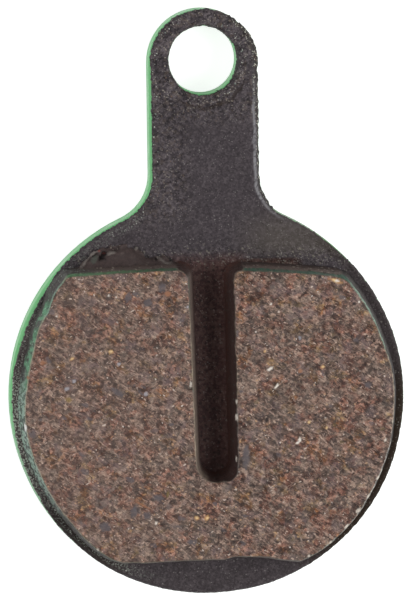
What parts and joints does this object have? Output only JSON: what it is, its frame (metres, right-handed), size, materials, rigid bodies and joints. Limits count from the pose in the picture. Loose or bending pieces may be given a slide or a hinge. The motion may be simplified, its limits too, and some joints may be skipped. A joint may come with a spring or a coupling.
{
  "type": "bicycle disc brake pad",
  "caption": "Round brake pad with a holed tab: brown slotted friction block bonded by a rough black coat to a green steel backing plate.",
  "frame": {"origin": "centre of the disc on the back face of the backing plate", "axes": "+Y from the disc's centre towards the hole in the tab, +Z out of the friction face, +X to the right with the tab up"},
  "size_m": [0.022, 0.0327, 0.004],
  "materials": {
    "green_paint": "satin",
    "black_coat": "rough",
    "friction_compound": "ground"
  },
  "bodies": {
    "root": {"backing_plate": "green_paint", "bonding_coat": "black_coat", "friction_block": "friction_compound"}
  },
  "joints": []
}
